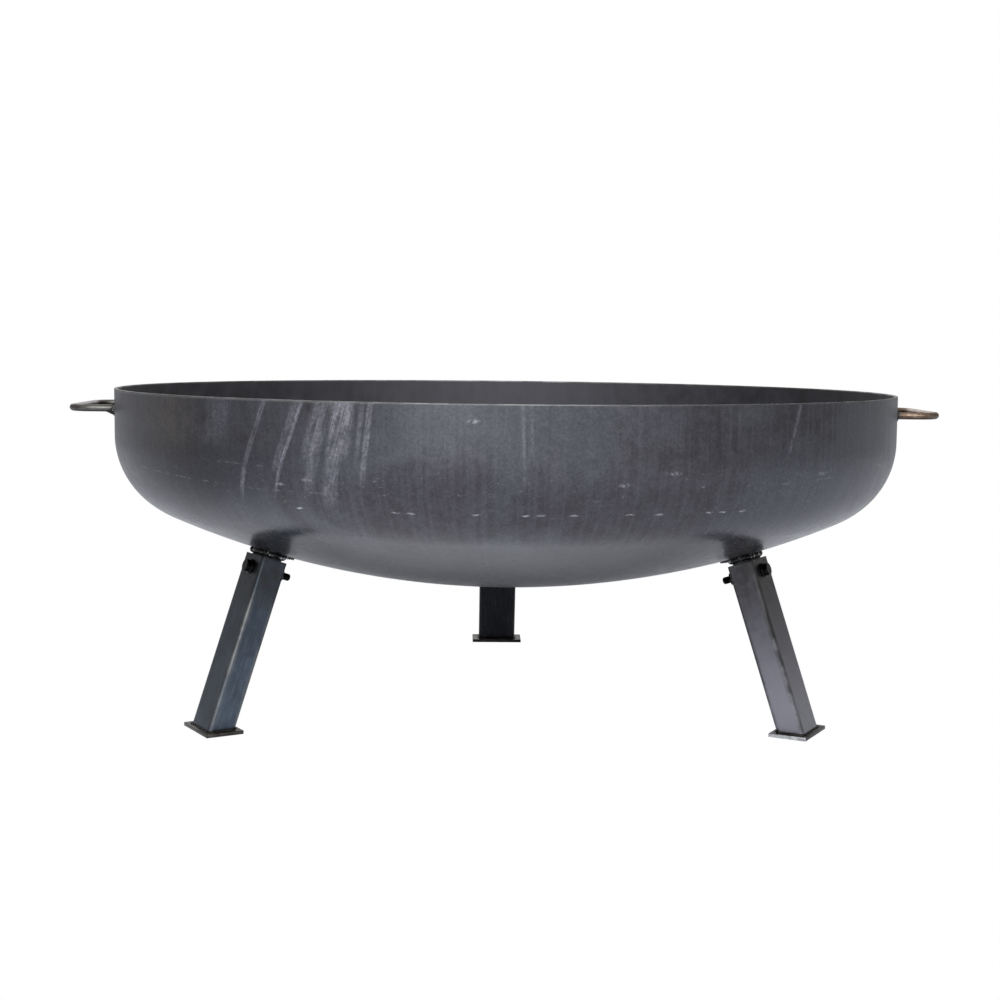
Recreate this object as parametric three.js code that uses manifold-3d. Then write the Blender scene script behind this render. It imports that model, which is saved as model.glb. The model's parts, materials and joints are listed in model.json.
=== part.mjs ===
// Fire pit: a dished steel bowl with two carrying handles, three bolt-on legs and a lift-out fire grate.
// Millimetres, +Z up. The origin is on the bowl's axis at ground level. The handles lie along X, and one leg
// stands at +Y.

import * as THREE from "three";
import { mergeVertices } from "three/addons/utils/BufferGeometryUtils.js";
import Module from "manifold-3d";

const wasm = await Module();
wasm.setup();

// ---------------------------------------------------------------- driving dimensions

// Left between two pieces that are welded, clamped or laid together.
const TOUCH_GAP = 0.3;

// The bowl is a dished tank end: an upright flange, a knuckle and a shallow crown.
const BOWL = {
  radius: 450,
  wall: 4,
  rimHeight: 366,
  flange: 52,
  knuckleRadius: 95,
  crownRadius: 944,
  rimEase: 0.7,
  segments: 72,
  crownSteps: 7,
  knuckleSteps: 6,
};

// Each handle is a bent bar whose ends butt on the wall.
const HANDLE = {
  bar: 8,
  width: 153,
  reach: 45,
  cornerRadius: 25,
  belowRim: 23,
  arcSteps: 5,
  steps: 30,
};

// The legs are rectangular tube, 50 x 30, with the wide face outwards. They lean at right angles to the crown.
const LEG = {
  azimuths: { back: 90, left: 210, right: 330 },
  radial: 30,
  tangential: 50,
  wall: 3,
  cornerRadius: 4.5,
  lean: 19.15,
  footRadius: 367,
  length: 191,
};

// Each leg slips over a stub of smaller tube that is welded under the bowl.
const STUB = {
  radial: 20,
  tangential: 40,
  wall: 2.5,
  cornerRadius: 3.5,
  engagement: 45,
  overshoot: 30,
};

const FOOT = { radial: 42, tangential: 68, thickness: 4, cornerEase: 1 };

// M8 fasteners: a hexagon bolt through leg and stub, a washer at each side and a nut on the inner side.
const BOLT = {
  belowLegTop: 14,
  shank: 8,
  length: 50,
  headAcrossFlats: 13,
  headHeight: 5.3,
  nutHeight: 6.5,
  drilledHole: 9,
  clearBore: 8.5,
  tipChamfer: 1,
  sides: 16,
};
const WASHER = { outer: 16, thickness: 1.6 };

// The fire grate: a bar ring, parallel bars on top, two cross bars inside the ring and short feet below.
const GRATE = {
  bar: 10,
  ringRadius: 230,
  barSpacing: 32,
  barCount: 13,
  crossBarOffset: 85,
  footHeight: 25,
  footAzimuths: [90, 210, 330],
  ringSegments: 48,
  barSides: 8,
  restGap: 0.5,
};

// Steps for a quarter turn at a tube's corner.
const CORNER_STEPS = 2;

// ---------------------------------------------------------------- materials

const FINISHES = {
  bowl: { color: 0x4b4c51, roughness: 0.5, metalness: 0.9 },
  handle: { color: 0x8a7e72, roughness: 0.3, metalness: 1.0 },
  leg: { color: 0x55585e, roughness: 0.45, metalness: 0.9 },
  foot: { color: 0x5c5d60, roughness: 0.5, metalness: 0.9 },
  stub: { color: 0x3f4648, roughness: 0.6, metalness: 0.8 },
  fastener: { color: 0x17181a, roughness: 0.45, metalness: 0.8 },
  grate: { color: 0x35363a, roughness: 0.6, metalness: 0.8 },
};

// ---------------------------------------------------------------- helpers

const radians = THREE.MathUtils.degToRad;

function addPiece(parent, name, geometry, finish) {
  const piece = new THREE.Mesh(geometry, new THREE.MeshStandardMaterial(FINISHES[finish]));
  piece.name = name;
  parent.add(piece);
  return piece;
}

// A closed geometry as a solid that can be cut.
function toSolid(geometry) {
  const bare = geometry.clone();
  bare.deleteAttribute("normal");
  bare.deleteAttribute("uv");
  const merged = mergeVertices(bare);
  const mesh = new wasm.Mesh({
    numProp: 3,
    vertProperties: new Float32Array(merged.attributes.position.array),
    triVerts: new Uint32Array(merged.index.array),
  });
  return new wasm.Manifold(mesh);
}

function toGeometry(solid) {
  const mesh = solid.getMesh();
  const geometry = new THREE.BufferGeometry();
  geometry.setAttribute("position", new THREE.BufferAttribute(mesh.vertProperties, 3));
  geometry.setIndex(new THREE.BufferAttribute(mesh.triVerts, 1));
  return geometry;
}

// A cylinder whose axis lies along X.
function cylinderAlongX(radius, length, sides) {
  return new THREE.CylinderGeometry(radius, radius, length, sides).rotateZ(Math.PI / 2);
}

// A cylinder whose axis lies along Z.
function cylinderAlongZ(radius, length, sides) {
  return new THREE.CylinderGeometry(radius, radius, length, sides).rotateX(Math.PI / 2);
}

// A body of revolution about Z, from a profile of (radius, height) points.
function revolve(profile, segments) {
  return new THREE.LatheGeometry(profile, segments).rotateX(Math.PI / 2);
}

// Points along an arc in the (radius, height) plane, both ends included.
function arcPoints(centre, radius, from, to, steps) {
  return Array.from({ length: steps + 1 }, (_, i) => {
    const angle = from + ((to - from) * i) / steps;
    return new THREE.Vector2(
      centre.x + radius * Math.cos(angle),
      centre.y + radius * Math.sin(angle),
    );
  });
}

// A rectangle with round corners, as a shape or as a hole.
function roundedRectangle(Type, width, height, corner) {
  const outline = new Type();
  const x = width / 2 - corner;
  const y = height / 2 - corner;
  outline.absarc(x, y, corner, 0, Math.PI / 2);
  outline.absarc(-x, y, corner, Math.PI / 2, Math.PI);
  outline.absarc(-x, -y, corner, Math.PI, 1.5 * Math.PI);
  outline.absarc(x, -y, corner, 1.5 * Math.PI, 2 * Math.PI);
  outline.closePath();
  return outline;
}

// Rectangular tube along Z from z = 0.
function rectangularTube(size, length) {
  const section = roundedRectangle(THREE.Shape, size.radial, size.tangential, size.cornerRadius);
  const bore = roundedRectangle(
    THREE.Path,
    size.radial - 2 * size.wall,
    size.tangential - 2 * size.wall,
    size.cornerRadius - size.wall,
  );
  section.holes.push(bore);
  return new THREE.ExtrudeGeometry(section, {
    depth: length,
    bevelEnabled: false,
    curveSegments: CORNER_STEPS,
  });
}

// ---------------------------------------------------------------- bowl

// The dish's surface at a given distance inside its outer face: 0 is outside, the wall's thickness is inside.
// Returns the points from the axis up to the rim.
function dishProfile(inset) {
  const knuckle = BOWL.knuckleRadius - inset;
  const crown = BOWL.crownRadius - inset;
  const knuckleCentre = new THREE.Vector2(
    BOWL.radius - BOWL.knuckleRadius,
    BOWL.rimHeight - BOWL.flange,
  );
  const centreDistance = BOWL.crownRadius - BOWL.knuckleRadius;
  const crownHalfAngle = Math.asin(knuckleCentre.x / centreDistance);
  const crownCentre = new THREE.Vector2(
    0,
    knuckleCentre.y + centreDistance * Math.cos(crownHalfAngle),
  );
  const down = -Math.PI / 2;
  const tangency = down + crownHalfAngle;
  const crownArc = arcPoints(crownCentre, crown, down, tangency, BOWL.crownSteps);
  const knuckleArc = arcPoints(knuckleCentre, knuckle, tangency, 0, BOWL.knuckleSteps);
  crownArc[0].x = 0;
  return [...crownArc, ...knuckleArc.slice(1)];
}

// Height of the dish's surface, at a given inset, over a point of its crown.
function crownHeight(radius, inset) {
  const centreDistance = BOWL.crownRadius - BOWL.knuckleRadius;
  const knuckleOffset = BOWL.radius - BOWL.knuckleRadius;
  const crownCentre =
    BOWL.rimHeight - BOWL.flange + Math.sqrt(centreDistance ** 2 - knuckleOffset ** 2);
  return crownCentre - Math.sqrt((BOWL.crownRadius - inset) ** 2 - radius ** 2);
}

function bowlGeometry() {
  const inner = BOWL.radius - BOWL.wall;
  const rim = [
    new THREE.Vector2(BOWL.radius, BOWL.rimHeight - BOWL.rimEase),
    new THREE.Vector2(BOWL.radius - BOWL.rimEase, BOWL.rimHeight),
    new THREE.Vector2(inner + BOWL.rimEase, BOWL.rimHeight),
    new THREE.Vector2(inner, BOWL.rimHeight - BOWL.rimEase),
  ];
  const profile = [...dishProfile(0), ...rim, ...dishProfile(BOWL.wall).reverse()];
  return revolve(profile, BOWL.segments);
}

// Everything inside the bowl's outer face and a touch gap round it, for cutting what is welded to the bowl.
function bowlEnvelope() {
  const profile = dishProfile(-TOUCH_GAP);
  profile.push(
    new THREE.Vector2(BOWL.radius + TOUCH_GAP, BOWL.rimHeight),
    new THREE.Vector2(0, BOWL.rimHeight),
  );
  return revolve(profile, BOWL.segments);
}

// ---------------------------------------------------------------- handles

// The bar's centre line runs out from the wall, along it and back, with a round bend at each corner.
function handleGeometry() {
  const half = HANDLE.width / 2;
  const outside = BOWL.radius + HANDLE.reach;
  const bend = HANDLE.cornerRadius;
  const start = BOWL.radius - HANDLE.bar * 2;
  const bendStart = outside - bend;
  const route = new THREE.CurvePath();
  const corner = (y) => new THREE.Vector3(outside, y, 0);
  route.add(
    new THREE.LineCurve3(new THREE.Vector3(start, -half, 0), new THREE.Vector3(bendStart, -half, 0)),
  );
  route.add(
    new THREE.QuadraticBezierCurve3(
      new THREE.Vector3(bendStart, -half, 0),
      corner(-half),
      new THREE.Vector3(outside, -half + bend, 0),
    ),
  );
  route.add(
    new THREE.LineCurve3(
      new THREE.Vector3(outside, -half + bend, 0),
      new THREE.Vector3(outside, half - bend, 0),
    ),
  );
  route.add(
    new THREE.QuadraticBezierCurve3(
      new THREE.Vector3(outside, half - bend, 0),
      corner(half),
      new THREE.Vector3(bendStart, half, 0),
    ),
  );
  route.add(
    new THREE.LineCurve3(new THREE.Vector3(bendStart, half, 0), new THREE.Vector3(start, half, 0)),
  );
  const section = new THREE.Shape().absarc(0, 0, HANDLE.bar / 2, 0, 2 * Math.PI);
  const bar = new THREE.ExtrudeGeometry(section, {
    steps: HANDLE.steps,
    curveSegments: HANDLE.arcSteps,
    extrudePath: route,
  });
  bar.translate(0, 0, BOWL.rimHeight - HANDLE.belowRim);
  return toGeometry(toSolid(bar).subtract(toSolid(bowlEnvelope())));
}

// ---------------------------------------------------------------- legs

// A frame that stands in the foot plate's top face: Z runs up the tube, X points outwards across it and Y along
// its wide face.
function leaningFrame() {
  const frame = new THREE.Group();
  frame.position.set(LEG.footRadius, 0, FOOT.thickness);
  frame.rotation.y = -radians(LEG.lean);
  frame.updateMatrix();
  return frame;
}

const BOLT_HEIGHT = LEG.length - BOLT.belowLegTop;

// The hole for the bolt, drilled right through along X.
function boltHole() {
  const hole = cylinderAlongX(BOLT.drilledHole / 2, 2 * LEG.radial, BOLT.sides);
  hole.translate(0, 0, BOLT_HEIGHT);
  return toSolid(hole);
}

// Tube with its top cut square and its lower end cut level with the foot plate.
function legTubeGeometry() {
  const below = LEG.radial;
  const tube = rectangularTube(LEG, LEG.length + below).translate(0, 0, -below);
  const ground = new THREE.BoxGeometry(4 * LEG.radial, 2 * LEG.tangential, 2 * LEG.radial);
  ground.translate(0, 0, TOUCH_GAP - LEG.radial);
  ground.rotateY(radians(LEG.lean));
  return toGeometry(toSolid(tube).subtract(toSolid(ground)).subtract(boltHole()));
}

// Tube from inside the leg up to the bowl, with its upper end shaped to the crown.
function stubGeometry() {
  const start = LEG.length - STUB.engagement;
  const tube = rectangularTube(STUB, STUB.engagement + STUB.overshoot).translate(0, 0, start);
  const bowl = bowlEnvelope().applyMatrix4(leaningFrame().matrix.invert());
  return toGeometry(toSolid(tube).subtract(toSolid(bowl)).subtract(boltHole()));
}

function footPlateGeometry() {
  const outline = roundedRectangle(THREE.Shape, FOOT.radial, FOOT.tangential, FOOT.cornerEase);
  return new THREE.ExtrudeGeometry(outline, {
    depth: FOOT.thickness,
    bevelEnabled: false,
    curveSegments: 1,
  });
}

// ---------------------------------------------------------------- fasteners

const HEX_RADIUS = BOLT.headAcrossFlats / Math.sqrt(3);
const WASHER_FACE = LEG.radial / 2 + TOUCH_GAP;
const HEAD_FACE = WASHER_FACE + WASHER.thickness + TOUCH_GAP;

// The bolt lies along X with its head towards +X, and its seat is HEAD_FACE from the leg's axis.
function boltGeometry() {
  const head = cylinderAlongX(HEX_RADIUS, BOLT.headHeight, 6);
  head.translate(HEAD_FACE + BOLT.headHeight / 2, 0, 0);
  const radius = BOLT.shank / 2;
  const buried = BOLT.headHeight / 2;
  const profile = [
    new THREE.Vector2(0, 0),
    new THREE.Vector2(radius - BOLT.tipChamfer, 0),
    new THREE.Vector2(radius, BOLT.tipChamfer),
    new THREE.Vector2(radius, BOLT.length + buried),
    new THREE.Vector2(0, BOLT.length + buried),
  ];
  const shank = revolve(profile, BOLT.sides).rotateY(Math.PI / 2);
  shank.translate(HEAD_FACE - BOLT.length, 0, 0);
  return toGeometry(toSolid(head).add(toSolid(shank)));
}

// A washer about X, from x = 0 outwards.
function washerGeometry() {
  const profile = [
    new THREE.Vector2(BOLT.clearBore / 2, 0),
    new THREE.Vector2(WASHER.outer / 2, 0),
    new THREE.Vector2(WASHER.outer / 2, WASHER.thickness),
    new THREE.Vector2(BOLT.clearBore / 2, WASHER.thickness),
    new THREE.Vector2(BOLT.clearBore / 2, 0),
  ];
  return revolve(profile, BOLT.sides).rotateY(Math.PI / 2);
}

// A nut about X, from x = 0 inwards.
function nutGeometry() {
  const body = cylinderAlongX(HEX_RADIUS, BOLT.nutHeight, 6).translate(-BOLT.nutHeight / 2, 0, 0);
  const bore = cylinderAlongX(BOLT.clearBore / 2, 3 * BOLT.nutHeight, BOLT.sides);
  return toGeometry(toSolid(body).subtract(toSolid(bore)));
}

// ---------------------------------------------------------------- grate

const GRATE_FOOT_BASE =
  crownHeight(GRATE.ringRadius + GRATE.bar / 2, BOWL.wall) + GRATE.restGap;
const GRATE_RING_HEIGHT = GRATE_FOOT_BASE + GRATE.footHeight + TOUCH_GAP + GRATE.bar / 2;

function addGrate(parent) {
  const radius = GRATE.bar / 2;
  const ring = new THREE.TorusGeometry(
    GRATE.ringRadius,
    radius,
    GRATE.barSides,
    GRATE.ringSegments,
  );
  addPiece(parent, "grate_ring", ring, "grate").position.z = GRATE_RING_HEIGHT;

  const barHeight = GRATE_RING_HEIGHT + GRATE.bar + TOUCH_GAP;
  for (let i = 0; i < GRATE.barCount; i += 1) {
    const x = (i - (GRATE.barCount - 1) / 2) * GRATE.barSpacing;
    const length = 2 * Math.sqrt((GRATE.ringRadius + radius) ** 2 - x ** 2);
    const bar = new THREE.CylinderGeometry(radius, radius, length, GRATE.barSides);
    const name = `grate_bar_${String(i + 1).padStart(2, "0")}`;
    addPiece(parent, name, bar, "grate").position.set(x, 0, barHeight);
  }

  const chord = Math.sqrt((GRATE.ringRadius - radius) ** 2 - (GRATE.crossBarOffset + radius) ** 2);
  for (const [place, side] of [["front", -1], ["back", 1]]) {
    const crossBar = cylinderAlongX(radius, 2 * (chord - TOUCH_GAP), GRATE.barSides);
    const piece = addPiece(parent, `grate_cross_bar_${place}`, crossBar, "grate");
    piece.position.set(0, side * GRATE.crossBarOffset, GRATE_RING_HEIGHT);
  }

  GRATE.footAzimuths.forEach((azimuth, i) => {
    const foot = cylinderAlongZ(radius, GRATE.footHeight, GRATE.barSides);
    const piece = addPiece(parent, `grate_foot_${i + 1}`, foot, "grate");
    const angle = radians(azimuth);
    piece.position.set(
      GRATE.ringRadius * Math.cos(angle),
      GRATE.ringRadius * Math.sin(angle),
      GRATE_FOOT_BASE + GRATE.footHeight / 2,
    );
  });
}

// ---------------------------------------------------------------- assembly

const firePit = new THREE.Group();

addPiece(firePit, "bowl", bowlGeometry(), "bowl");

addPiece(firePit, "handle_right", handleGeometry(), "handle");
addPiece(firePit, "handle_left", handleGeometry(), "handle").rotation.z = Math.PI;

for (const [place, azimuth] of Object.entries(LEG.azimuths)) {
  const station = new THREE.Group();
  station.rotation.z = radians(azimuth);
  firePit.add(station);

  const plate = addPiece(station, `foot_plate_${place}`, footPlateGeometry(), "foot");
  plate.position.x = LEG.footRadius;

  const leaning = leaningFrame();
  station.add(leaning);
  addPiece(leaning, `leg_tube_${place}`, legTubeGeometry(), "leg");
  addPiece(leaning, `leg_stub_${place}`, stubGeometry(), "stub");

  const onBoltAxis = new THREE.Group();
  onBoltAxis.position.z = BOLT_HEIGHT;
  leaning.add(onBoltAxis);
  addPiece(onBoltAxis, `leg_bolt_${place}`, boltGeometry(), "fastener");
  const headWasher = addPiece(onBoltAxis, `head_washer_${place}`, washerGeometry(), "fastener");
  headWasher.position.x = WASHER_FACE;
  const nutWasher = addPiece(onBoltAxis, `nut_washer_${place}`, washerGeometry(), "fastener");
  nutWasher.position.x = -WASHER_FACE - WASHER.thickness;
  const nut = addPiece(onBoltAxis, `leg_nut_${place}`, nutGeometry(), "fastener");
  nut.position.x = -HEAD_FACE;
}

addGrate(firePit);

export default firePit;
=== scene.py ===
"""Looks of the fire pit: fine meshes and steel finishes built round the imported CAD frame."""

import json
import math

import bmesh
import bpy
from mathutils import Matrix, Vector, noise


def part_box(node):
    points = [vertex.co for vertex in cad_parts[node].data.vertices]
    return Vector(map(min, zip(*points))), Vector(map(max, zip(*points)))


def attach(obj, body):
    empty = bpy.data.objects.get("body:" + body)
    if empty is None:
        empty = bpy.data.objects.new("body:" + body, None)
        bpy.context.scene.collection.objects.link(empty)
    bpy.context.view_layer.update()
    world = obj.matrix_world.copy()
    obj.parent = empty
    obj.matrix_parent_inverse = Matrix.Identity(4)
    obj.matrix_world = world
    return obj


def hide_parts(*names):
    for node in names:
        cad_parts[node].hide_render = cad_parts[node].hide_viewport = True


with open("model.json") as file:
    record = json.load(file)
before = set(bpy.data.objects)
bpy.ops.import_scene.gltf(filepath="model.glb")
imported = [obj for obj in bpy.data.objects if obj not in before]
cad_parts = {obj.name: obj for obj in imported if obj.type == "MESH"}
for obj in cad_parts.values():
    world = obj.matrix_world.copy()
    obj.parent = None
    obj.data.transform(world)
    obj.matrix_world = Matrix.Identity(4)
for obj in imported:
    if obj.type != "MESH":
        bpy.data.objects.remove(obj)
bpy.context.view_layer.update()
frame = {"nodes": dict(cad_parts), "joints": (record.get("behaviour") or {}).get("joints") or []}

MM = 0.001
TAU = 2 * math.pi
UP = Vector((0, 0, 1))

# ---------------------------------------------------------------- driving dimensions, metres

BOWL_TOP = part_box("bowl")[1]
RADIUS = BOWL_TOP.x
RIM_HEIGHT = BOWL_TOP.z
WALL = 4 * MM
FLANGE = 52 * MM
KNUCKLE_RADIUS = 95 * MM
CROWN_RADIUS = 944 * MM
KNUCKLE_OFFSET = RADIUS - KNUCKLE_RADIUS
CENTRE_DISTANCE = CROWN_RADIUS - KNUCKLE_RADIUS
CROWN_CENTRE = RIM_HEIGHT - FLANGE + math.sqrt(CENTRE_DISTANCE**2 - KNUCKLE_OFFSET**2)
RIM_EASE = 0.8 * MM
BOWL_SEGMENTS = 288

HANDLE_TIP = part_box("handle_right")[1]
HANDLE_BAR = 8 * MM
HANDLE_WIDTH = 153 * MM
HANDLE_BEND = 25 * MM
HANDLE_HEIGHT = HANDLE_TIP.z - HANDLE_BAR / 2

PLACES = ("back", "left", "right")
LEG = {"radial": 30 * MM, "tangential": 50 * MM, "wall": 3 * MM, "corner": 4.5 * MM}
STUB = {"radial": 20 * MM, "tangential": 40 * MM, "wall": 2.5 * MM, "corner": 3.5 * MM}
LEG_LENGTH = 191 * MM
BOLT_HEIGHT = LEG_LENGTH - 14 * MM
STUB_ENGAGEMENT = 45 * MM
FOOT = {"radial": 42 * MM, "tangential": 68 * MM, "thickness": 4 * MM}

# The plates with a bright sawn end, and which way along the plate's own Y it faces.
SAWN_FACE = {"right": -1, "back": 1}

ACROSS_FLATS = 13 * MM
HEAD_HEIGHT = 5.3 * MM
NUT_HEIGHT = 6.5 * MM
SHANK = 8 * MM
BOLT_LENGTH = 50 * MM
THREAD_LENGTH = 22 * MM
THREAD_PITCH = 1.25 * MM
THREAD_DEPTH = 0.62 * MM
DRILLED_HOLE = 9 * MM
CLEAR_BORE = 8.5 * MM
WASHER_OUTER = 16 * MM
WASHER_THICKNESS = 1.6 * MM
TOUCH_GAP = 0.3 * MM
WASHER_FACE = LEG["radial"] / 2 + TOUCH_GAP
HEAD_FACE = WASHER_FACE + WASHER_THICKNESS + TOUCH_GAP

GRATE_BAR = 10 * MM
GRATE_SIDES = 20
TACK_SIZE = Vector((5.6 * MM, 5.6 * MM, 3.0 * MM))

WELD_STEP = 0.5 * MM
WELD_RIPPLE = 2.4 * MM
STUB_WELD_RADIUS = 3.5 * MM
STUB_WELD_SINK = 2 * MM
FOOT_WELD_RADIUS = 1.4 * MM
HANDLE_WELD_RADIUS = 2.3 * MM


# ---------------------------------------------------------------- camera, floor and light

def set_up_camera():
    """The camera stands a little above the rim and looks slightly down at the open side."""
    orbit = math.radians(-1.5)
    yaw = math.radians(0.165)
    pitch = math.radians(-5.529)
    roll = math.radians(0.63)
    distance = 4.2918 * RADIUS
    height = RIM_HEIGHT + 0.1249 * RADIUS
    data = bpy.data.cameras.new("camera")
    data.lens = 58.848
    camera = bpy.data.objects.new("camera", data)
    bpy.context.scene.collection.objects.link(camera)
    camera.matrix_world = (
        Matrix.Rotation(orbit, 4, "Z")
        @ Matrix.Translation((0, -distance, height))
        @ Matrix.Rotation(yaw, 4, "Z")
        @ Matrix.Rotation(math.pi / 2 + pitch, 4, "X")
        @ Matrix.Rotation(roll, 4, "Z")
    )
    bpy.context.scene.camera = camera


def set_up_floor():
    """A floor that the camera sees as plain white, and reflections as pale grey with a soft glow."""
    half = 30.0
    mesh = bpy.data.meshes.new("floor")
    corners = [(-half, -half, 0), (half, -half, 0), (half, half, 0), (-half, half, 0)]
    mesh.from_pydata(corners, [], [(0, 1, 2, 3)])
    floor = bpy.data.objects.new("floor", mesh)
    bpy.context.scene.collection.objects.link(floor)
    paper = Surface("white_floor")
    shown = paper.node("Emission", {"Color": (1.0, 1.0, 1.0, 1.0), "Strength": 1.0}).outputs[0]
    x, y, _ = paper.split(paper.place())
    pool = paper.times(paper.bell(x, -0.2, 0.8), paper.bell(y, -0.3, 0.45))
    strength = paper.times(pool, 0.63)
    glow = paper.node("Emission", {"Color": (0.93, 0.96, 1.0, 1.0), "Strength": strength}).outputs[0]
    plain = paper.node("BsdfDiffuse", {"Color": (0.66, 0.68, 0.73, 1.0)}).outputs[0]
    lit = paper.node("AddShader", {0: plain, 1: glow}).outputs[0]
    seen = paper.node("LightPath", {}).outputs["Is Camera Ray"]
    both = paper.node("MixShader", {0: seen, 1: lit, 2: shown}).outputs[0]
    paper.node("OutputMaterial", {0: both})
    mesh.materials.append(paper.material)


def add_softbox(name, size, power, colour, location, target):
    light = bpy.data.lights.new(name, "AREA")
    light.shape = "RECTANGLE"
    light.size, light.size_y = size
    light.energy = power
    light.color = colour
    lamp = bpy.data.objects.new(name, light)
    bpy.context.scene.collection.objects.link(lamp)
    lamp.location = location
    aim = Vector(target) - lamp.location
    lamp.rotation_euler = aim.to_track_quat("-Z", "Y").to_euler()


def set_up_light():
    """A dim room, brighter in front and overhead, with two softboxes in front and a weaker one behind."""
    world = bpy.data.worlds.new("studio")
    bpy.context.scene.world = world
    room = Surface("studio", world)
    direction = room.split(room.node("TexCoord", {}).outputs["Generated"])
    front_to_back = room.ramp(direction[1], -1.0, 0.8, 0.68, 0.36)
    overhead = room.ramp(direction[2], 0.45, 0.95, 0.0, 0.6)
    lit = room.plus(front_to_back, overhead)
    seen = room.node("LightPath", {}).outputs["Is Camera Ray"]
    strength = room.node("Mix", {0: seen, 2: lit, 3: 1.0}, data_type="FLOAT").outputs[0]
    background = room.node("Background", {"Color": (1.0, 1.0, 1.0, 1.0), "Strength": strength})
    room.node("OutputWorld", {0: background.outputs[0]})
    middle = (0, 0, 0.25)
    add_softbox("softbox_high", (3.3, 1.2), 106, (0.99, 0.99, 1.0), (0.2, -2.7, 1.95), middle)
    add_softbox("softbox_low", (1.3, 1.1), 18, (0.90, 0.96, 1.0), (-0.9, -3.1, 1.15), middle)
    add_softbox("softbox_behind", (3.3, 1.2), 24, (0.99, 0.99, 1.0), (-0.3, 3.0, 1.5), middle)
    bpy.context.scene.view_settings.view_transform = "Standard"


# ---------------------------------------------------------------- materials

class Surface:
    """A material being built, with short calls for its nodes. Inputs are numbers, colours or sockets."""

    def __init__(self, name, owner=None):
        self.material = owner or bpy.data.materials.new(name)
        self.material.use_nodes = True
        self.tree = self.material.node_tree
        self.tree.nodes.clear()

    def node(self, kind, inputs, **settings):
        made = self.tree.nodes.new("ShaderNode" + kind)
        for name, value in settings.items():
            setattr(made, name, value)
        for key, value in inputs.items():
            if isinstance(value, bpy.types.NodeSocket):
                self.tree.links.new(value, made.inputs[key])
            else:
                made.inputs[key].default_value = value
        return made

    def place(self):
        """Coordinates in the piece's own frame."""
        return self.node("TexCoord", {}).outputs["Object"]

    def attribute(self, name):
        return self.node("Attribute", {}, attribute_name=name).outputs["Fac"]

    def split(self, vector):
        return self.node("SeparateXYZ", {0: vector}).outputs

    def join(self, x, y, z):
        return self.node("CombineXYZ", {0: x, 1: y, 2: z}).outputs[0]

    def maths(self, operation, a, b=0.0):
        return self.node("Math", {0: a, 1: b}, operation=operation).outputs[0]

    def times(self, a, b):
        return self.maths("MULTIPLY", a, b)

    def plus(self, a, b):
        return self.maths("ADD", a, b)

    def scaled(self, vector, factors):
        return self.node("VectorMath", {0: vector, 1: factors}, operation="MULTIPLY").outputs[0]

    def noise(self, vector, scale, detail=3.0, roughness=0.55, distortion=0.0):
        inputs = {
            "Vector": vector,
            "Scale": scale,
            "Detail": detail,
            "Roughness": roughness,
            "Distortion": distortion,
        }
        return self.node("TexNoise", inputs).outputs[0]

    def ramp(self, value, low, high, to_low=0.0, to_high=1.0):
        """A smooth step from to_low to to_high as value goes from low to high."""
        inputs = {
            "Value": value,
            "From Min": low,
            "From Max": high,
            "To Min": to_low,
            "To Max": to_high,
        }
        return self.node("MapRange", inputs, interpolation_type="SMOOTHSTEP").outputs[0]

    def bell(self, value, centre, half_width):
        """One at centre, falling to nothing at half_width either side."""
        away = self.maths("ABSOLUTE", self.maths("SUBTRACT", value, centre))
        return self.ramp(away, 0.0, half_width, 1.0, 0.0)

    def mix(self, factor, a, b, blend="MIX"):
        inputs = {0: factor, 6: a, 7: b}
        return self.node("Mix", inputs, data_type="RGBA", blend_type=blend).outputs[2]

    def metal(self, colour, roughness, height, depth):
        """The finished shader. height is a bump from 0 to 1 that stands depth metres proud."""
        bump = self.node("Bump", {"Height": height, "Distance": depth, "Strength": 1.0})
        inputs = {
            "Base Color": colour,
            "Roughness": roughness,
            "Metallic": 1.0,
            "Normal": bump.outputs[0],
        }
        shader = self.node("BsdfPrincipled", inputs)
        self.node("OutputMaterial", {0: shader.outputs[0]})
        return self.material


def grey(value, tint=(1.0, 1.0, 1.0)):
    return (value * tint[0], value * tint[1], value * tint[2], 1.0)


BLUE_SCALE = (0.93, 0.97, 1.12)
SCALE_TINT = (1.0, 0.98, 1.1)
WARM_SCALE = (1.1, 0.98, 0.88)
LEFT_TINT = (0.79, 1.0, 1.28)

# The rubbed marks that run down from the rim: degrees from the open side, half width in degrees, degrees
# sideways for each metre down, length in millimetres, strength.
RUBBED_MARKS = (
    (-39, 2.4, -40, 50, 0.22),
    (-32, 0.5, -50, 105, 0.5),
    (-27, 1.0, -50, 75, 0.5),
    (-26.5, 0.35, -50, 100, 0.5),
    (-24, 1.3, -35, 65, 0.5),
    (-23, 1.0, -35, 100, 0.35),
    (-21, 1.9, -15, 60, 0.75),
    (-21, 1.3, -25, 110, 0.5),
    (-18.5, 0.4, -15, 70, 0.3),
    (-17.5, 0.5, -15, 85, 0.5),
    (0.5, 0.3, 5, 85, 0.25),
    (1.5, 0.25, 5, 60, 0.2),
    (38, 0.35, -40, 55, 0.4),
)

# Bright nicks in a row on the knuckle, in degrees from the open side, and dull smears, in degrees and
# millimetres below the rim. Half sizes are degrees round the bowl and metres down it.
KNUCKLE_NICKS = (-28, -15, -13, -5, 1, 3, 7, 14, 18, 25, 27, 30)
NICK_ROW = 103 * MM
NICK_HALF_SIZE = (0.8, 1.2 * MM)
SMEARS = ((-30, 80), (-26, 75), (-5, 16), (13, 74), (19, 64), (43, 70), (60, 69))
SMEAR_HALF_SIZE = (1.5, 2.6 * MM)

# Long thin scratches round the wall: degrees at both ends, millimetres below the rim at the first, more
# millimetres for each degree.
LONG_SCRATCHES = ((-69, -37, 74, 0.35), (-44, -30, 61, 0.25), (-37, -20, 86, 0.1), (33, 47, 79, -0.3))
SCRATCH_HALF_WIDTH = 1.0 * MM


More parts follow.
